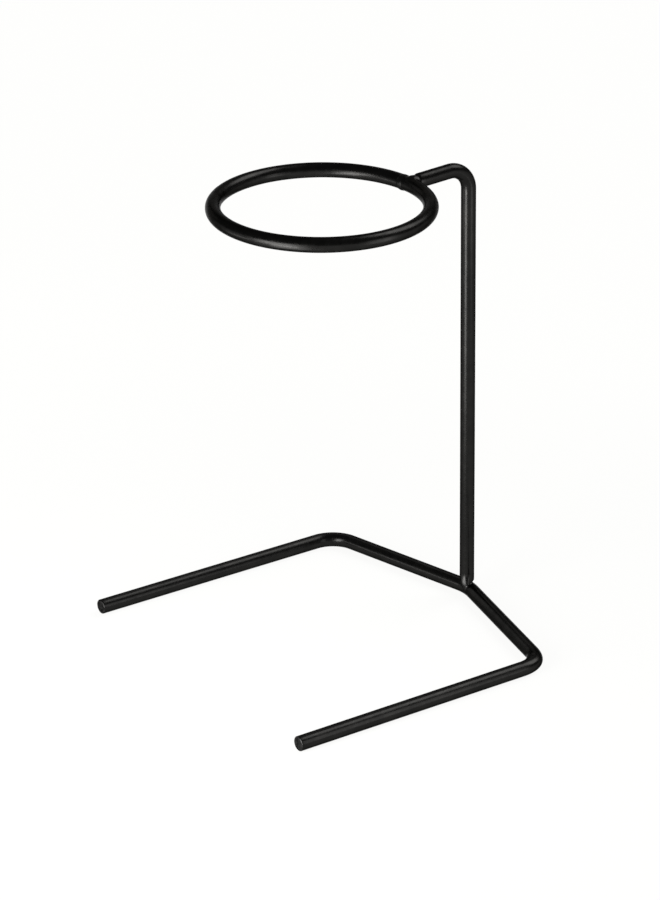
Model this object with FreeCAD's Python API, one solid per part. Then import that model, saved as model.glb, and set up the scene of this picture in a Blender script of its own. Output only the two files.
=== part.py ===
import FreeCAD, Part
import math
import os

# A stand that holds a coffee dripper above a cup, made of three bent rods of one round steel stock.
# The base rod lies flat on the table, open to the front, with a leg at each side. The post rod stands
# on the middle of the base, turns forward at the top and carries a closed hoop at the end of its arm.
# The rods are joined by weld beads.
#
# Frame: origin on the table under the middle of the stand's outline, +X to the right, +Y to the back,
# +Z up. Lengths are in millimetres and angles in degrees.

# Stock
rod_diameter = 6.0

# Base rod, measured between centrelines
leg_spacing = 143.2
leg_length = 115.2
vertex_setback = 16.8
corner_bend_radius = 12.0
vertex_bend_radius = 21.0
leg_end_rounding = 0.5

# Post rod. The arm falls a little towards the hoop, and its reach is level, from centreline to centreline.
overall_height = 188.0
arm_bend_radius = 9.0
arm_fall_angle = 2.8
arm_reach = 27.7
welded_end_rounding = 1.3

# Hoop. Its front edge stands a little higher than the edge at the arm.
ring_inner_diameter = 77.0
ring_drop = 0.85
ring_tilt = 0.45
ring_seam_angle = 5.8
ring_seam_gap = 0.8

# Welds
fusion_depth = 0.4
foot_fill_inset = 0.25
foot_bead_radius = 2.8
foot_bead_rise = 1.0
foot_bead_side_angle = 22.0
arm_bead_inset = 0.3
seam_bead_rise = 0.2
seam_bead_sag = 0.12

# Worked out from the sizes above
rod_radius = rod_diameter / 2
ring_radius = ring_inner_diameter / 2 + rod_radius

# The post stands on the crown of the base's middle bend, which lies inside the bend's corner point.
vertex_half_turn = math.atan2(vertex_setback, leg_spacing / 2)
vertex_inset = vertex_bend_radius / math.cos(vertex_half_turn) - vertex_bend_radius
reach_before_post = leg_length + vertex_setback - vertex_inset
post_y = (reach_before_post - rod_radius) / 2
vertex_y = post_y + vertex_inset
corner_y = vertex_y - vertex_setback
leg_end_y = corner_y - leg_length
foot_z = rod_diameter - fusion_depth

# The top of the arm's bend is the stand's highest point, and the two runs cross a little above it.
arm_half_turn = math.radians(90 + arm_fall_angle) / 2
elbow_z = overall_height - rod_radius + arm_bend_radius * (math.tan(arm_half_turn) - 1)
joint_y = post_y - arm_reach
joint_z = elbow_z - arm_reach * math.tan(math.radians(arm_fall_angle))

X = FreeCAD.Vector(1, 0, 0)
Y = FreeCAD.Vector(0, 1, 0)
Z = FreeCAD.Vector(0, 0, 1)


def point(x, y, z):
    return FreeCAD.Vector(x, y, z)


def turned(direction, axis, angle):
    return FreeCAD.Rotation(axis, angle).multVec(direction)


arm_direction = turned(-Y, X, arm_fall_angle)
ring_normal = turned(Z, X, -ring_tilt)
ring_to_arm = turned(Y, X, -ring_tilt)
ring_centre = point(0, joint_y, joint_z - ring_drop) - ring_to_arm * ring_radius
arm_end = point(0, joint_y, joint_z) - arm_direction * (rod_radius - fusion_depth)


def rounded_path(corners, radii):
    """Straight runs through the corners, joined by tangent arcs of the given radii."""
    edges = []
    start = corners[0]
    for before, corner, after, radius in zip(corners, corners[1:], corners[2:], radii):
        arriving = (corner - before).normalize()
        leaving = (after - corner).normalize()
        half_turn = arriving.getAngle(leaving) / 2
        arc_start = corner - arriving * (radius * math.tan(half_turn))
        arc_end = corner + leaving * (radius * math.tan(half_turn))
        inward = (leaving - arriving).normalize()
        arc_middle = corner + inward * (radius / math.cos(half_turn) - radius)
        edges.append(Part.LineSegment(start, arc_start).toShape())
        edges.append(Part.Arc(arc_start, arc_middle, arc_end).toShape())
        start = arc_end
    edges.append(Part.LineSegment(start, corners[-1]).toShape())
    return Part.Wire(edges)


def disc(centre, normal, radius):
    return Part.Face(Part.Wire([Part.Circle(centre, normal, radius).toShape()]))


def bent_rod(corners, radii):
    """A round rod of the stock's diameter whose centreline follows the rounded path."""
    return rounded_path(corners, radii).makePipe(disc(corners[0], corners[1] - corners[0], rod_radius))


def edges_at(rod, place, direction):
    """The edges of the rod that lie in the plane through the place, square to the direction."""
    found = []
    for edge in rod.Edges:
        offsets = [(spot - place).dot(direction) for spot in edge.discretize(8)]
        if max(abs(offset) for offset in offsets) < 1e-4:
            found.append(edge)
    return found


def only_solid(shape):
    """The single solid that a cut or a blend leaves."""
    if len(shape.Solids) != 1:
        raise ValueError("expected one solid, found " + str(len(shape.Solids)))
    return shape.Solids[0]


def make_base_rod():
    half_width = leg_spacing / 2
    corners = [
        point(-half_width, leg_end_y, rod_radius),
        point(-half_width, corner_y, rod_radius),
        point(0, vertex_y, rod_radius),
        point(half_width, corner_y, rod_radius),
        point(half_width, leg_end_y, rod_radius),
    ]
    rod = bent_rod(corners, [corner_bend_radius, vertex_bend_radius, corner_bend_radius])
    return only_solid(rod.makeFillet(leg_end_rounding, edges_at(rod, corners[0], Y)))


def make_holder_ring():
    """The hoop, open by the width of the gap that the seam weld fills."""
    gap_angle = math.degrees(ring_seam_gap / ring_radius)
    profile = disc(ring_centre + ring_to_arm * ring_radius, X, rod_radius)
    profile.rotate(ring_centre, ring_normal, ring_seam_angle + gap_angle / 2)
    return only_solid(profile.revolve(ring_centre, ring_normal, 360 - gap_angle))


def make_post_rod(base, ring, seam):
    """Post and arm in one rod, with rounded ends that are fused into the base rod and the hoop."""
    foot = point(0, post_y, foot_z)
    rod = bent_rod([foot, point(0, post_y, elbow_z), arm_end], [arm_bend_radius])
    rims = edges_at(rod, foot, Z) + edges_at(rod, arm_end, arm_direction)
    return only_solid(rod.makeFillet(welded_end_rounding, rims).cut(base).cut(ring).cut(seam))


def make_post_foot_weld(base, post):
    """The fill all round under the foot's rounded rim, and a proud bead in front, a little to the right."""
    fill = Part.makeSphere(rod_radius - foot_fill_inset, point(0, post_y, foot_z), X)
    outward = turned(-Y, Z, foot_bead_side_angle)
    centre = point(0, post_y, rod_diameter) + outward * (rod_radius + foot_bead_rise - foot_bead_radius)
    bead = Part.makeSphere(foot_bead_radius, centre, X)
    return only_solid(fill.fuse(bead).cut(base).cut(post))


def make_ring_seam_weld(ring):
    """The bead that fills the hoop's gap, flush above and a little proud below, where it sagged."""
    place = turned(ring_to_arm, ring_normal, ring_seam_angle)
    along_hoop = ring_normal.cross(place)
    centre = ring_centre + place * ring_radius - ring_normal * seam_bead_sag
    return only_solid(Part.makeSphere(rod_radius + seam_bead_rise, centre, along_hoop).cut(ring))


def make_arm_end_weld(ring, post, seam):
    """The bead round the arm's end, just under the arm's own surface, that slopes down to the hoop."""
    bead = Part.makeSphere(rod_radius - arm_bead_inset, arm_end, arm_direction)
    return only_solid(bead.cut(ring).cut(post).cut(seam))


def make_stand():
    base = make_base_rod()
    ring = make_holder_ring()
    seam = make_ring_seam_weld(ring)
    post = make_post_rod(base, ring, seam)
    return {
        "base_rod": base,
        "post_rod": post,
        "holder_ring": ring,
        "post_foot_weld": make_post_foot_weld(base, post),
        "arm_end_weld": make_arm_end_weld(ring, post, seam),
        "ring_seam_weld": seam,
    }


os.makedirs("parts", exist_ok=True)
for name, shape in make_stand().items():
    shape.exportStep("parts/" + name + ".step")
    box = shape.optimalBoundingBox()
    print(
        name, shape.ShapeType, "valid", shape.isValid(), "volume", round(shape.Volume, 2),
        "x", round(box.XMin, 2), round(box.XMax, 2),
        "y", round(box.YMin, 2), round(box.YMax, 2),
        "z", round(box.ZMin, 2), round(box.ZMax, 2),
    )
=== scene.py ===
import math
from typing import NamedTuple

import bpy
import numpy as np
from mathutils import Matrix, Vector, noise


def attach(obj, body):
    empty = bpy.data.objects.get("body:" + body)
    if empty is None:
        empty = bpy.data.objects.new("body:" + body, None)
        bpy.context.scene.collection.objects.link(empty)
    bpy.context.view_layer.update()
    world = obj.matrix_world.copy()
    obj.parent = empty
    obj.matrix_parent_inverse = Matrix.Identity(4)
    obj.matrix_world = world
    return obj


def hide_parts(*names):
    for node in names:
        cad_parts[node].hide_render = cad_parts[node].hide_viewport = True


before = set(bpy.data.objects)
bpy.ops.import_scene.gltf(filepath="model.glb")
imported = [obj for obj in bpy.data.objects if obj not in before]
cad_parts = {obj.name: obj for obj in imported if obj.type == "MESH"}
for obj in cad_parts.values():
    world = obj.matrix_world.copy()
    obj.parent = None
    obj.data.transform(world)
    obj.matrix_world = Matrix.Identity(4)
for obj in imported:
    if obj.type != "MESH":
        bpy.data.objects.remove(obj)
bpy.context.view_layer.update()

# The stand's sizes in metres, as the solids have them
MM = 0.001
ROD_RADIUS = 3.0 * MM
LEG_SPACING = 143.2 * MM
LEG_LENGTH = 115.2 * MM
VERTEX_SETBACK = 16.8 * MM
CORNER_BEND_RADIUS = 12.0 * MM
VERTEX_BEND_RADIUS = 21.0 * MM
LEG_END_ROUNDING = 0.5 * MM
OVERALL_HEIGHT = 188.0 * MM
ARM_BEND_RADIUS = 9.0 * MM
ARM_FALL = math.radians(2.8)
ARM_REACH = 27.7 * MM
WELDED_END_ROUNDING = 1.3 * MM
RING_RADIUS = 41.5 * MM
RING_DROP = 0.85 * MM
RING_TILT = math.radians(0.45)
SEAM_ANGLE = math.radians(5.8)
SEAM_GAP = 0.8 * MM
FUSION_DEPTH = 0.4 * MM

# Worked out from the sizes above, as in the part
VERTEX_HALF_TURN = math.atan2(VERTEX_SETBACK, LEG_SPACING / 2)
VERTEX_INSET = VERTEX_BEND_RADIUS / math.cos(VERTEX_HALF_TURN) - VERTEX_BEND_RADIUS
POST_Y = (LEG_LENGTH + VERTEX_SETBACK - VERTEX_INSET - ROD_RADIUS) / 2
VERTEX_Y = POST_Y + VERTEX_INSET
CORNER_Y = VERTEX_Y - VERTEX_SETBACK
LEG_END_Y = CORNER_Y - LEG_LENGTH
FOOT_Z = 2 * ROD_RADIUS - FUSION_DEPTH
ELBOW_Z = OVERALL_HEIGHT - ROD_RADIUS + ARM_BEND_RADIUS * (math.tan((math.pi / 2 + ARM_FALL) / 2) - 1)
JOINT = Vector((0, POST_Y - ARM_REACH, ELBOW_Z - ARM_REACH * math.tan(ARM_FALL)))
ARM_DIRECTION = Vector((0, -math.cos(ARM_FALL), -math.sin(ARM_FALL)))
ARM_END = JOINT - ARM_DIRECTION * (ROD_RADIUS - FUSION_DEPTH)
RING_NORMAL = Vector((0, math.sin(RING_TILT), math.cos(RING_TILT)))
RING_TO_ARM = Vector((0, math.cos(RING_TILT), -math.sin(RING_TILT)))
RING_CENTRE = JOINT - Vector((0, 0, RING_DROP)) - RING_TO_ARM * RING_RADIUS

# What bending and cutting left. A fold's start and full are cosines of the angle from the inner side.
FLATTENED = -0.05 * MM
SWOLLEN = 0.5 * MM
ELBOW_FOLD = 0.3
FOLD_DEPTH = 0.17 * MM
FOLD_WIDTH = 0.6 * MM
FOLD_STARTS = -0.35
FOLD_FULL = 0.60
SHOULDER_RISE = 0.08 * MM
SHOULDER_PLACE = 1.7 * MM
SHOULDER_WIDTH = 0.8 * MM
END_RELIEF = 0.05 * MM

# The coating's slow waves. Its mean surface is so many wave heights inside the solid's.
WAVE_HEIGHT = 0.010 * MM
WAVE_LENGTH = 9.0 * MM
WAVES_INSIDE = 2.3

# A weld's skin covers its rods too, this far inside their surface, and ends inside its grid
TUCK = 0.035 * MM
GRID_MARGIN = 0.5 * MM

# The coating's looks. Each pair of noise values is where the first look ends and where the second is full.
EDGE_TINT = (0.42, 0.42, 0.42)
TONE_NOISE = (0.35, 0.68)
CUT_TONE_NOISE = (0.35, 0.65)
GLOSS_NOISE = (0.3, 0.7)
GRAIN_HEIGHT = 0.0020 * MM

# A leg's cut end is paler, from one depth behind its face to the other
CUT_DARKEST = (0.016, 0.016, 0.016)
CUT_LIGHTEST = (0.052, 0.051, 0.050)
CUT_FADE_START = 0.30 * MM
CUT_FADE_END = 0.05 * MM

# The room. Heights are those of a direction of length 1.
HORIZON_COLOUR = (0.93, 0.93, 0.925)
HORIZON_TOP = 0.06
ROOM_COLOUR = (0.16, 0.16, 0.16)
ROOM_START = 0.17

# The floor. Its glow is the share of the seen floor that shines by itself.
FLOOR_HALF_WIDTH = 8.0
UNSEEN_PAPER = (0.34, 0.34, 0.338)
SEEN_PAPER = (1.0, 1.0, 0.99)
NEAR_GLOW = 0.92
FAR_GLOW = 0.985
NEAR_FLOOR = 140 * MM
FAR_FLOOR = 320 * MM

# The photograph's camera. Its aim is given from the post's line, to the right and up in the picture.
PICTURE_HEIGHT = 900
FOCAL_PIXELS = 3816.4
SENSOR = 36.0
CAMERA_AZIMUTH = math.radians(55.861)
CAMERA_ELEVATION = math.radians(23.980)
CAMERA_ROLL = math.radians(-0.671)
CAMERA_DISTANCE = 1.5243
AIM_HEIGHT = 90.0 * MM
AIM_RIGHT = -55.26 * MM
AIM_UP = -22.93 * MM
CLIP_START = 0.05
CLIP_END = 50.0

# Mesh detail. The face shares are the sizes of the rings that fill a rod's end face.
SIDES = 56
RUN_STEP = 1.6 * MM
TURN_STEP = math.radians(1.2)
HOOP_STEPS = 300
RIM_STEPS = 7
FACE_SHARES = (0.93, 0.84, 0.72, 0.58, 0.42, 0.25, 0.09)
SKIN_STEP = 0.13 * MM

# A mix node's sockets for colours, by their numbers
MIX_FIRST = 6
MIX_SECOND = 7
MIX_RESULT = 2


def make_camera():
    """The camera stands where the photograph was taken from, turned a little about its own axis."""
    back = Vector((
        math.sin(CAMERA_AZIMUTH) * math.cos(CAMERA_ELEVATION),
        -math.cos(CAMERA_AZIMUTH) * math.cos(CAMERA_ELEVATION),
        math.sin(CAMERA_ELEVATION),
    ))
    right = Vector((math.cos(CAMERA_AZIMUTH), math.sin(CAMERA_AZIMUTH), 0))
    up = back.cross(right)
    aim = Vector((0, POST_Y, AIM_HEIGHT)) + right * AIM_RIGHT + up * AIM_UP
    turned_right = right * math.cos(CAMERA_ROLL) + up * math.sin(CAMERA_ROLL)
    turned_up = up * math.cos(CAMERA_ROLL) - right * math.sin(CAMERA_ROLL)
    data = bpy.data.cameras.new("camera")
    data.sensor_width = SENSOR
    data.lens = FOCAL_PIXELS * SENSOR / PICTURE_HEIGHT
    data.clip_start = CLIP_START
    data.clip_end = CLIP_END
    camera = bpy.data.objects.new("camera", data)
    bpy.context.scene.collection.objects.link(camera)
    columns = Matrix((turned_right, turned_up, back)).transposed().to_4x4()
    camera.matrix_world = Matrix.Translation(aim + back * CAMERA_DISTANCE) @ columns
    bpy.context.scene.camera = camera


def place_towards(azimuth, distance, height):
    """A point at the height, at that distance from the origin. Azimuth 0 is the open front, 90 the right."""
    angle = math.radians(azimuth)
    return Vector((math.sin(angle) * distance, -math.cos(angle) * distance, height))


def add_lamp(data, facing):
    """A lamp that shines the way it faces."""
    lamp = bpy.data.objects.new(data.name, data)
    bpy.context.scene.collection.objects.link(lamp)
    lamp.rotation_mode = "QUATERNION"
    lamp.rotation_quaternion = facing.to_track_quat("-Z", "Y")
    return lamp


def make_panel(name, azimuth, low_edge, high_edge, width, radiance):
    """A flat soft box that faces the stand. Each edge is a distance from the origin and a height."""
    low = place_towards(azimuth, *low_edge)
    high = place_towards(azimuth, *high_edge)
    across = place_towards(azimuth + 90, 1, 0)
    length = (high - low).length
    data = bpy.data.lights.new(name, "AREA")
    data.shape = "RECTANGLE"
    data.size = width
    data.size_y = length
    data.energy = radiance * math.pi * width * length
    lamp = add_lamp(data, (high - low).cross(across))
    lamp.location = (low + high) / 2
    lamp.visible_camera = False


def make_sun(name, azimuth, elevation, half_angle, radiance):
    """A far light that fills a round patch of the sky, and lights the whole floor alike."""
    data = bpy.data.lights.new(name, "SUN")
    data.angle = math.radians(2 * half_angle)
    data.energy = radiance * math.pi * math.sin(math.radians(half_angle)) ** 2
    height = math.radians(elevation)
    add_lamp(data, -place_towards(azimuth, math.cos(height), math.sin(height)))


def make_lamps():
    """Three soft boxes in front, of which one leans, a far one behind, and pale boards all round."""
    # Name, azimuth, low edge, high edge, width and radiance
    make_panel("front_soft_box", 22, (0.34, 0.005), (0.34, 0.060), 0.13, 12.4)
    make_panel("upper_soft_box", 14, (0.34, 0.060), (0.34, 0.245), 0.23, 9.4)
    make_panel("leaning_soft_box", 21, (0.15, 0.004), (0.255, 0.110), 0.10, 7.5)
    make_panel("right_board", 112, (0.40, 0.005), (0.40, 0.305), 0.16, 2.6)
    make_panel("left_board", -84, (0.45, 0.020), (0.45, 0.380), 0.20, 1.2)
    make_panel("high_board", -124, (0.45, 0.250), (0.45, 0.500), 0.34, 1.2)
    make_panel("low_board", -30, (0.40, 0.020), (0.40, 0.090), 0.16, 4.5)
    make_sun("back_soft_box", azimuth=178, elevation=47, half_angle=19, radiance=5.2)


def add_node(tree, kind, values=()):
    """A new shader node, with the inputs set that the values name."""
    node = tree.nodes.new("ShaderNode" + kind)
    for name, value in dict(values).items():
        node.inputs[name].default_value = value
    return node


def add_ramp(tree, source, positions, colours):
    """A ramp between two colours, each at its position."""
    ramp = add_node(tree, "ValToRGB")
    for element, position, colour in zip(ramp.color_ramp.elements, positions, colours):
        element.position = position
        element.color = (*colour, 1)
    tree.links.new(source, ramp.inputs[0])
    return ramp


def add_map(tree, source, given, wanted):
    """Carries the source from the given range to the wanted one, and keeps it inside."""
    node = add_node(tree, "MapRange")
    for name, value in zip(("From Min", "From Max", "To Min", "To Max"), (*given, *wanted)):
        node.inputs[name].default_value = value
    tree.links.new(source, node.inputs["Value"])
    return node


def greatest_of(tree, first, second):
    """The greater of two values."""
    node = add_node(tree, "Math")
    node.operation = "MAXIMUM"
    tree.links.new(first, node.inputs[0])
    tree.links.new(second, node.inputs[1])
    return node.outputs[0]


def mixed_shader(tree, share, first, second):
    """Two shaders mixed. The share says how much of the second is in it."""
    mix = add_node(tree, "MixShader")
    for number, source in enumerate((share, first, second)):
        tree.links.new(source, mix.inputs[number])
    return mix.outputs[0]


def make_world():
    """A dim room with a pale band along the horizon, which meets the floor's far edge."""
    world = bpy.data.worlds.new("room")
    bpy.context.scene.world = world
    world.use_nodes = True
    tree = world.node_tree
    tree.nodes.clear()
    place = add_node(tree, "TexCoord")
    split = add_node(tree, "SeparateXYZ")
    tree.links.new(place.outputs["Generated"], split.inputs[0])
    ramp = add_ramp(tree, split.outputs["Z"], (HORIZON_TOP, ROOM_START), (HORIZON_COLOUR, ROOM_COLOUR))
    ramp.color_ramp.interpolation = "EASE"
    background = add_node(tree, "Background")
    output = add_node(tree, "OutputWorld")
    tree.links.new(ramp.outputs["Color"], background.inputs["Color"])
    tree.links.new(background.outputs[0], output.inputs["Surface"])


def floor_glow(tree):
    """The glow grows away from the stand, so that the shadow shows and the lamps' edges don't."""
    place = add_node(tree, "TexCoord")
    distance = add_node(tree, "VectorMath")
    distance.operation = "LENGTH"
    tree.links.new(place.outputs["Object"], distance.inputs[0])
    glow = add_map(tree, distance.outputs["Value"], (NEAR_FLOOR, FAR_FLOOR), (NEAR_GLOW, FAR_GLOW))
    glow.interpolation_type = "SMOOTHSTEP"
    return glow.outputs["Result"]


def floor_paper():
    """Near white where it is seen, also in reflections, and greyer in the light that it throws back."""
    material = bpy.data.materials.new("floor_paper")
    material.use_nodes = True
    tree = material.node_tree
    tree.nodes.clear()
    path = add_node(tree, "LightPath")
    seen = greatest_of(tree, path.outputs["Is Camera Ray"], path.outputs["Is Glossy Ray"])
    seen_or_through = greatest_of(tree, seen, path.outputs["Is Transmission Ray"])
    paper = add_node(tree, "BsdfDiffuse", {"Color": (*UNSEEN_PAPER, 1)})
    white_paper = add_node(tree, "BsdfDiffuse", {"Color": (*SEEN_PAPER, 1)})
    white = add_node(tree, "Emission", {"Color": (*SEEN_PAPER, 1)})
    seen_floor = mixed_shader(tree, floor_glow(tree), white_paper.outputs[0], white.outputs[0])
    floor = mixed_shader(tree, seen_or_through, paper.outputs[0], seen_floor)
    output = add_node(tree, "OutputMaterial")
    tree.links.new(floor, output.inputs["Surface"])
    return material


def make_floor():
    """A wide level floor under the stand, which keeps a faint shadow of it."""
    half = FLOOR_HALF_WIDTH
    corners = [(-half, -half, 0), (half, -half, 0), (half, half, 0), (-half, half, 0)]
    mesh = bpy.data.meshes.new("floor")
    mesh.from_pydata(corners, [], [(0, 1, 2, 3)])
    mesh.materials.append(floor_paper())
    floor = bpy.data.objects.new("floor", mesh)
    bpy.context.scene.collection.objects.link(floor)


def add_noise(tree, place, scale, detail):
    """The strength of a noise at the place, about a half on average."""
    node = add_node(tree, "TexNoise", {"Scale": scale, "Detail": detail})
    tree.links.new(place, node.inputs["Vector"])
    return node.outputs["Fac"]


def coating_tone(tree, place, darkest, lightest):
    """Patches between two tones on the rods' sides, and between two paler ones on the legs' cut ends."""
    patches = add_noise(tree, place, scale=160.0, detail=3.0)
    tone = add_ramp(tree, patches, TONE_NOISE, (darkest, lightest))
    cut_patches = add_noise(tree, place, scale=900.0, detail=2.0)
    cut_tone = add_ramp(tree, cut_patches, CUT_TONE_NOISE, (CUT_DARKEST, CUT_LIGHTEST))
    split = add_node(tree, "SeparateXYZ")
    tree.links.new(place, split.inputs[0])
    fade = (LEG_END_Y + CUT_FADE_START, LEG_END_Y + CUT_FADE_END)
    cut_end = add_map(tree, split.outputs["Y"], fade, (0, 1))
    colour = add_node(tree, "Mix")
    colour.data_type = "RGBA"
    tree.links.new(cut_end.outputs["Result"], colour.inputs["Factor"])
    tree.links.new(tone.outputs["Color"], colour.inputs[MIX_FIRST])
    tree.links.new(cut_tone.outputs["Color"], colour.inputs[MIX_SECOND])
    return colour.outputs[MIX_RESULT]


def coating_roughness(tree, place, smoothest, roughest):
    """Gloss that wanders from spot to spot."""
    gloss = add_noise(tree, place, scale=420.0, detail=4.0)
    return add_map(tree, gloss, GLOSS_NOISE, (smoothest, roughest)).outputs["Result"]


def coating_relief(tree, place, peel_height):
    """Orange peel, with a fine grain on it."""
    peel = add_noise(tree, place, scale=1100.0, detail=2.0)
    grain = add_noise(tree, place, scale=5200.0, detail=2.0)
    peel_bump = add_node(tree, "Bump", {"Strength": 1.0, "Distance": peel_height})
    grain_bump = add_node(tree, "Bump", {"Strength": 1.0, "Distance": GRAIN_HEIGHT})
    tree.links.new(peel, peel_bump.inputs["Height"])
    tree.links.new(grain, grain_bump.inputs["Height"])
    tree.links.new(peel_bump.outputs["Normal"], grain_bump.inputs["Normal"])
    return grain_bump.outputs["Normal"]


def make_coating(name, darkest, lightest, smoothest, roughest, peel_height):
    """Black satin powder coating, drawn as a dark metal-like surface with a low edge tint."""
    material = bpy.data.materials.new(name)
    material.use_nodes = True
    tree = material.node_tree
    surface = tree.nodes["Principled BSDF"]
    surface.inputs["Metallic"].default_value = 1.0
    surface.inputs["Specular Tint"].default_value = (*EDGE_TINT, 1)
    place = add_node(tree, "TexCoord").outputs["Object"]
    tree.links.new(coating_tone(tree, place, darkest, lightest), surface.inputs["Base Color"])
    tree.links.new(coating_roughness(tree, place, smoothest, roughest), surface.inputs["Roughness"])
    tree.links.new(coating_relief(tree, place, peel_height), surface.inputs["Normal"])
    return material


def add_piece(name, node, points, faces, material):
    """Links a smooth mesh that stands for the solid and rides with the stand."""
    mesh = bpy.data.meshes.new(name)
    mesh.from_pydata(points, [], faces)
    mesh.polygons.foreach_set("use_smooth", [True] * len(mesh.polygons))
    mesh.materials.append(material)
    mesh.update()
    piece = bpy.data.objects.new(name, mesh)
    bpy.context.scene.collection.objects.link(piece)
    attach(piece, "root")
    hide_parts(node)


class Bend(NamedTuple):
    """A bend. Its outer side swells so far, and its inner side folds by a share of the fold's depth."""
    radius: float
    swell: float
    fold: float


class Station(NamedTuple):
    """A place along a rod. In a bend it knows the way inward and how far it is past the bend's middle."""
    centre: Vector
    direction: Vector
    radius: float
    inward: Vector = Vector((0, 0, 0))
    swell: float = 0.0
    fold: float = 0.0
    past_middle: float = 0.0


def run(start, end, direction):
    """Stations along a straight stretch."""
    count = max(2, math.ceil((end - start).length / RUN_STEP))
    return [Station(start.lerp(end, step / count), direction, ROD_RADIUS) for step in range(count + 1)]


def route(corners, bends):
    """Stations along straight runs through the corners, joined by the bends as tangent arcs."""
    stations = []
    start = corners[0]
    for before, corner, after, bend in zip(corners, corners[1:], corners[2:], bends):
        arriving = (corner - before).normalized()
        leaving = (after - corner).normalized()
        turn = arriving.angle(leaving)
        cut = bend.radius * math.tan(turn / 2)
        arc_start = corner - arriving * cut
        stations += run(start, arc_start, arriving)
        inward = (leaving - arriving * math.cos(turn)).normalized()
        count = math.ceil(turn / TURN_STEP)
        for step in range(1, count):
            angle = turn * step / count
            to_centre = inward * math.cos(angle) - arriving * math.sin(angle)
            direction = arriving * math.cos(angle) + inward * math.sin(angle)
            place = arc_start + inward * bend.radius - to_centre * bend.radius
            swell = bend.swell * math.sin(math.pi * step / count) ** 2
            past_middle = bend.radius * (angle - turn / 2)
            stations.append(Station(place, direction, ROD_RADIUS, to_centre, swell, bend.fold, past_middle))
        start = corner + leaving * cut
    stations += run(start, corners[-1], (corners[-1] - start).normalized())
    return stations


def rounded_end(place, outward, direction, rounding, relief):
    """Stations from the rod's side over its rounded rim to the middle of its end face."""
    stations = []
    for step in range(1, RIM_STEPS + 1):
        angle = math.pi / 2 * step / RIM_STEPS
        radius = ROD_RADIUS - rounding * (1 - math.cos(angle))
        stations.append(Station(place - outward * rounding * (1 - math.sin(angle)), direction, radius))
    face_radius = ROD_RADIUS - rounding
    for share in FACE_SHARES:
        dip = relief * (1 - share * share)
        stations.append(Station(place - outward * dip, direction, face_radius * share))
    return stations


def fold_at(past_middle, inside):
    """How far a fold lets the surface out: a small furrow, with a raised shoulder before and after it."""
    furrow = FOLD_DEPTH * math.exp(-(past_middle / FOLD_WIDTH) ** 2)
    shoulder = SHOULDER_RISE * math.exp(-((abs(past_middle) - SHOULDER_PLACE) / SHOULDER_WIDTH) ** 2)
    share = min(max((inside - FOLD_STARTS) / (FOLD_FULL - FOLD_STARTS), 0), 1)
    return (shoulder - furrow) * share * share * (3 - 2 * share)


def rod_radius_at(place, radial):
    """The rod's radius with the swelling or flattening of a bend, its fold and the coating's waves."""
    inside = radial.dot(place.inward)
    swell = place.swell * max(-inside, 0) ** 2
    wave = noise.noise((place.centre + radial * ROD_RADIUS) / WAVE_LENGTH)
    share = place.radius / ROD_RADIUS
    radius = place.radius + swell - WAVE_HEIGHT * (WAVES_INSIDE + wave) * share
    if place.fold:
        radius += place.fold * fold_at(place.past_middle, inside)
    return radius


def tube(stations, binormal):
    """A closed mesh through the stations, which all lie in the plane square to the binormal."""
    points = []
    for place in stations:
        side = binormal.cross(place.direction)
        for number in range(SIDES):
            angle = 2 * math.pi * number / SIDES
            radial = side * math.cos(angle) + binormal * math.sin(angle)
            points.append(place.centre + radial * rod_radius_at(place, radial))
    faces = []
    for ring in range(len(stations) - 1):
        for number in range(SIDES):
            beside = (number + 1) % SIDES
            low = ring * SIDES
            faces.append((low + number, low + SIDES + number, low + SIDES + beside, low + beside))
    for ring, forward in ((0, True), (len(stations) - 1, False)):
        low = ring * SIDES
        points.append(stations[ring].centre)
        middle = len(points) - 1
        for number in range(SIDES):
            beside = (number + 1) % SIDES
            pair = (low + number, low + beside) if forward else (low + beside, low + number)
            faces.append((*pair, middle))
    return points, faces


def make_base_rod(material):
    """Leg, corner, back run, middle bend, back run, corner and leg. The right corner was pressed wide."""
    half = LEG_SPACING / 2
    corners = [
        Vector((-half, LEG_END_Y + LEG_END_ROUNDING, ROD_RADIUS)),
        Vector((-half, CORNER_Y, ROD_RADIUS)),
        Vector((0, VERTEX_Y, ROD_RADIUS)),
        Vector((half, CORNER_Y, ROD_RADIUS)),
        Vector((half, LEG_END_Y + LEG_END_ROUNDING, ROD_RADIUS)),
    ]
    back = Vector((0, 1, 0))
    left = Vector((-half, LEG_END_Y, ROD_RADIUS))
    right = Vector((half, LEG_END_Y, ROD_RADIUS))
    left_end = rounded_end(left, -back, back, LEG_END_ROUNDING, END_RELIEF)
    right_end = rounded_end(right, -back, -back, LEG_END_ROUNDING, END_RELIEF)
    left_corner = Bend(CORNER_BEND_RADIUS, FLATTENED, fold=0)
    vertex = Bend(VERTEX_BEND_RADIUS, FLATTENED, fold=0)
    right_corner = Bend(CORNER_BEND_RADIUS, SWOLLEN, fold=1)
    middle = route(corners, [left_corner, vertex, right_corner])
    points, faces = tube(left_end[::-1] + middle + right_end, Vector((0, 0, 1)))
    # The pressed corner stays flat on the table
    for point in points:
        point.z = max(point.z, 0)
    add_piece("base_rod_coated", "base_rod", points, faces, material)


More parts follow.
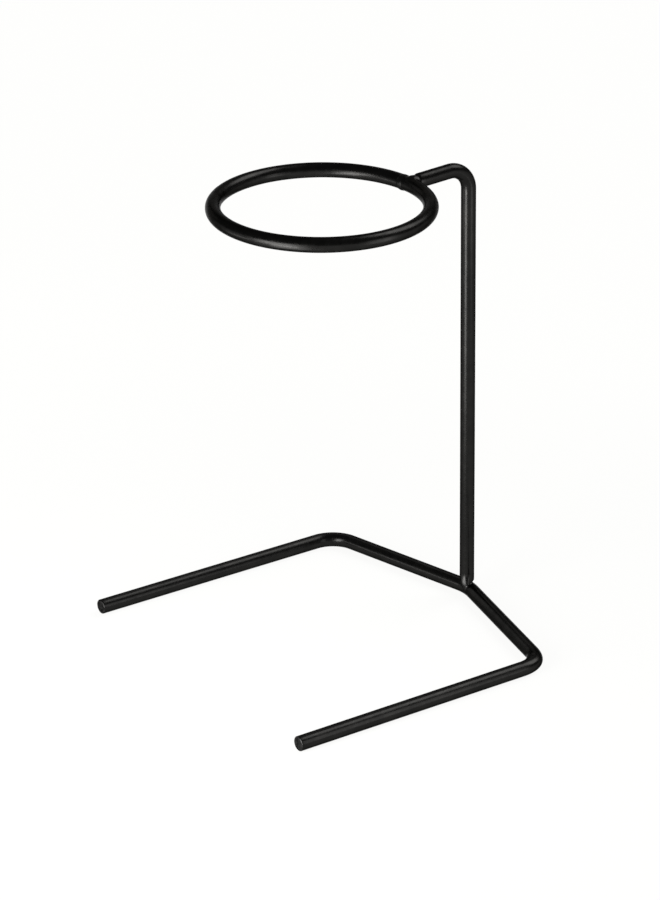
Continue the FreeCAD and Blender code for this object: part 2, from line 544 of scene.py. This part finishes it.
def make_post_rod(material):
    """The post and its arm, from the end on the base to the end on the hoop."""
    up = Vector((0, 0, 1))
    foot = Vector((0, POST_Y, FOOT_Z))
    corners = [
        foot + up * WELDED_END_ROUNDING,
        Vector((0, POST_Y, ELBOW_Z)),
        ARM_END - ARM_DIRECTION * WELDED_END_ROUNDING,
    ]
    low_end = rounded_end(foot, -up, up, WELDED_END_ROUNDING, relief=0)
    far_end = rounded_end(ARM_END, ARM_DIRECTION, ARM_DIRECTION, WELDED_END_ROUNDING, relief=0)
    middle = route(corners, [Bend(ARM_BEND_RADIUS, FLATTENED, ELBOW_FOLD)])
    points, faces = tube(low_end[::-1] + middle + far_end, Vector((1, 0, 0)))
    add_piece("post_rod_coated", "post_rod", points, faces, material)


def hoop_outward(angle):
    """The way outward from the hoop's centre, at the angle from the arm."""
    return RING_TO_ARM * math.cos(angle) + RING_NORMAL.cross(RING_TO_ARM) * math.sin(angle)


def make_holder_ring(material):
    """The hoop runs from one side of its seam's gap round to the other."""
    half_gap = SEAM_GAP / RING_RADIUS / 2
    start = SEAM_ANGLE + half_gap
    sweep = 2 * math.pi - 2 * half_gap
    stations = []
    for step in range(HOOP_STEPS + 1):
        outward = hoop_outward(start + sweep * step / HOOP_STEPS)
        place = RING_CENTRE + outward * RING_RADIUS
        stations.append(Station(place, RING_NORMAL.cross(outward), ROD_RADIUS))
    points, faces = tube(stations, RING_NORMAL)
    add_piece("holder_ring_coated", "holder_ring", points, faces, material)


def smooth_least(first, second, blend):
    """The lesser of two distances, with a fillet of about a quarter of the blend where they meet."""
    overlap = np.maximum(blend - np.abs(first - second), 0) / blend
    return np.minimum(first, second) - overlap * overlap * blend / 4


def smooth_greatest(first, second, blend):
    """The greater of two distances, with as much rounding where they meet."""
    return -smooth_least(-first, -second, blend)


def rod_end_distance(points, end, outward, rounding):
    """Distance to a long straight rod whose rounded end is at the given place."""
    offset = points - np.array(end)
    along = offset @ np.array(outward)
    radial = np.linalg.norm(offset - along[..., None] * np.array(outward), axis=-1)
    over_side = radial - (ROD_RADIUS - rounding)
    over_end = along + rounding
    outside = np.hypot(np.maximum(over_side, 0), np.maximum(over_end, 0))
    return outside + np.minimum(np.maximum(over_side, over_end), 0) - rounding


def hoop_distance(points):
    """Distance to the hoop, as if it had no seam."""
    offset = points - np.array(RING_CENTRE)
    height = offset @ np.array(RING_NORMAL)
    level = np.linalg.norm(offset - height[..., None] * np.array(RING_NORMAL), axis=-1)
    return np.hypot(level - RING_RADIUS, height) - ROD_RADIUS


def base_distance(points):
    """Distance to the base rod near its middle bend."""
    x = np.abs(points[..., 0])
    y = points[..., 1] - (POST_Y - VERTEX_BEND_RADIUS)
    on_bend = np.arctan2(x, y) < VERTEX_HALF_TURN
    past_run = x * math.sin(VERTEX_HALF_TURN) + y * math.cos(VERTEX_HALF_TURN)
    level = np.where(on_bend, np.hypot(x, y), past_run) - VERTEX_BEND_RADIUS
    return np.hypot(level, points[..., 2] - ROD_RADIUS) - ROD_RADIUS


def at_cells(values, cells):
    """The grid's values at the cells, which are rows of three whole numbers."""
    return values[tuple(cells.T)]


def skin(middle, reach, distance):
    """A closed mesh of the surface where the distance is zero, by surface nets on an even grid.

    The grid is a cube that reaches so far from its middle. Each edge of the grid that the surface crosses
    gives a quad between the four cells round it, and each cell's point is the mean of its crossings.
    """
    count = math.ceil(2 * reach / SKIN_STEP) + 1
    counts = (count, count, count)
    axes = [low + SKIN_STEP * np.arange(count) for low in middle - reach]
    grid = np.stack(np.meshgrid(*axes, indexing="ij"), -1)
    value = distance(grid)
    inside = value < 0
    steps = np.eye(3, dtype=int)
    total = np.zeros((*counts, 3))
    hits = np.zeros(counts)
    quads = []
    for axis in range(3):
        here = [slice(1, -1)] * 3
        there = [slice(1, -1)] * 3
        here[axis] = slice(0, -1)
        there[axis] = slice(1, None)
        crossed = np.argwhere(inside[tuple(here)] != inside[tuple(there)]) + 1 - steps[axis]
        ahead = crossed + steps[axis]
        near = at_cells(value, crossed)
        far = at_cells(value, ahead)
        spots = at_cells(grid, crossed)
        spots = spots + (at_cells(grid, ahead) - spots) * (near / (near - far))[:, None]
        first = steps[(axis + 1) % 3]
        second = steps[(axis + 2) % 3]
        around = [crossed, crossed - first, crossed - first - second, crossed - second]
        for cells in around:
            np.add.at(total, tuple(cells.T), spots)
            np.add.at(hits, tuple(cells.T), 1)
        numbers = np.stack([np.ravel_multi_index(tuple(cells.T), counts) for cells in around], -1)
        backward = near > 0
        numbers[backward] = numbers[backward][:, ::-1]
        quads.append(numbers)
    used, renumbered = np.unique(np.concatenate(quads), return_inverse=True)
    points = total.reshape(-1, 3)[used] / hits.reshape(-1)[used][:, None]
    return points.tolist(), renumbered.reshape(-1, 4).tolist()


def tucked(joined, offset, reach):
    """The joined surface a little further in, inside a ball that the grid has room for."""
    ball = np.linalg.norm(offset, axis=-1) - reach + GRID_MARGIN
    return np.maximum(joined + TUCK, ball)


def make_foot_weld(material):
    """The weld round the post's foot: a low fillet all round, and one flat-faced upright bead in front."""
    middle = np.array((0, POST_Y, 2 * ROD_RADIUS))
    reach = 6.0 * MM
    foot = Vector((0, POST_Y, FOOT_Z))
    back_fillet = 0.5 * MM
    front_fillet = 2.4 * MM
    azimuth = math.radians(37)
    face_rise = math.radians(18)
    face_radius = 8.0 * MM
    crown_reach = 3.8 * MM
    crown_height = 0.75 * MM
    bead_half_height = 2.3 * MM
    bead_half_width = 1.5 * MM
    bead_widening = 0.5 * MM
    bead_depth = 4.0 * MM
    edge_slope = 1.2 * MM
    edge_blend = 0.7 * MM
    depth_blend = 0.5 * MM
    bead_blend = 1.1 * MM
    level_way = np.array((math.sin(azimuth), -math.cos(azimuth), 0))
    sideways = np.array((math.cos(azimuth), math.sin(azimuth), 0))
    facing = level_way * math.cos(face_rise) + np.array((0, 0, math.sin(face_rise)))
    upward = np.array((0, 0, math.cos(face_rise))) - level_way * math.sin(face_rise)
    crown = middle + level_way * crown_reach + np.array((0, 0, crown_height))

    def distance(points):
        offset = points - middle
        angle = np.arctan2(offset[..., 0], -offset[..., 1])
        frontness = np.clip(np.cos(angle - azimuth), 0, 1) ** 2
        post = rod_end_distance(points, foot, Vector((0, 0, -1)), WELDED_END_ROUNDING)
        joined = smooth_least(post, base_distance(points), back_fillet + front_fillet * frontness)
        from_crown = points - crown
        face = np.linalg.norm(from_crown + facing * face_radius, axis=-1) - face_radius
        along = from_crown @ upward / bead_half_height
        half_width = bead_half_width + bead_widening * np.clip(along, -1, 1)
        edge = (np.hypot(from_crown @ sideways / half_width, along) - 1) * edge_slope
        bead = smooth_greatest(face, edge, edge_blend)
        bead = smooth_greatest(bead, -(from_crown @ facing) - bead_depth, depth_blend)
        return tucked(smooth_least(joined, bead, bead_blend), offset, reach)

    points, faces = skin(middle, reach, distance)
    add_piece("post_foot_weld_coated", "post_foot_weld", points, faces, material)


def make_arm_weld(material):
    """The bead that carries the arm's end over the hoop's outer side, with a groove before the arm."""
    middle = np.array(ARM_END - Vector((0, 0, RING_DROP / 2)))
    reach = 5.6 * MM
    fillet = 1.2 * MM
    bead_advance = 1.4 * MM
    bead_radius = 2.85 * MM
    bead_blend = 0.9 * MM
    ripple_height = 0.02 * MM
    ripple_length = 0.4 * MM
    ripples_round = 7
    bead_centre = np.array(ARM_END + ARM_DIRECTION * bead_advance)

    def distance(points):
        offset = points - middle
        angle = np.arctan2(offset[..., 0], offset[..., 2])
        arm = rod_end_distance(points, ARM_END, ARM_DIRECTION, WELDED_END_ROUNDING)
        joined = smooth_least(arm, hoop_distance(points), fillet)
        ripple = ripple_height * np.sin(angle * ripples_round + offset[..., 1] / ripple_length)
        bead = np.linalg.norm(points - bead_centre, axis=-1) - bead_radius + ripple
        return tucked(smooth_least(joined, bead, bead_blend), offset, reach)

    points, faces = skin(middle, reach, distance)
    add_piece("arm_end_weld_coated", "arm_end_weld", points, faces, material)


def make_seam_weld(material):
    """A narrow proud band round the hoop over its seam, which sags a little below."""
    outward = hoop_outward(SEAM_ANGLE)
    along = np.array(RING_NORMAL.cross(outward))
    middle = np.array(RING_CENTRE + outward * RING_RADIUS)
    reach = 3.8 * MM
    band_half_width = 1.35 * MM
    skin_half_width = band_half_width * 1.25
    band_rise = 0.20 * MM
    band_sag = 0.06 * MM
    hem_drop = -0.4
    ripple_height = 0.02 * MM
    ripple_length = 0.16 * MM
    ripple_lean = 2

    def distance(points):
        offset = points - middle
        place = offset @ along
        low_share = np.clip(-(offset @ np.array(RING_NORMAL)) / ROD_RADIUS, -1, 1)
        crown = np.clip(1 - (place / band_half_width) ** 2, hem_drop, 1)
        ripple = ripple_height * np.sin(place / ripple_length + low_share * ripple_lean)
        rise = band_rise + band_sag * low_share
        surface = hoop_distance(points) - rise * crown - ripple * np.maximum(crown, 0)
        return np.maximum(surface + TUCK * (crown < 0), np.abs(place) - skin_half_width)

    points, faces = skin(middle, reach, distance)
    add_piece("ring_seam_weld_coated", "ring_seam_weld", points, faces, material)


make_camera()
make_lamps()
make_world()
make_floor()
rod_coating = make_coating(
    "rod_coating", darkest=(0.0160, 0.0158, 0.0153), lightest=(0.0205, 0.0201, 0.0193),
    smoothest=0.23, roughest=0.34, peel_height=0.009 * MM,
)
weld_coating = make_coating(
    "weld_coating", darkest=(0.0175, 0.0173, 0.0168), lightest=(0.0250, 0.0245, 0.0236),
    smoothest=0.24, roughest=0.36, peel_height=0.012 * MM,
)
make_base_rod(rod_coating)
make_post_rod(rod_coating)
make_holder_ring(rod_coating)
make_foot_weld(weld_coating)
make_arm_weld(weld_coating)
make_seam_weld(weld_coating)

bpy.context.scene.view_settings.view_transform = "Standard"
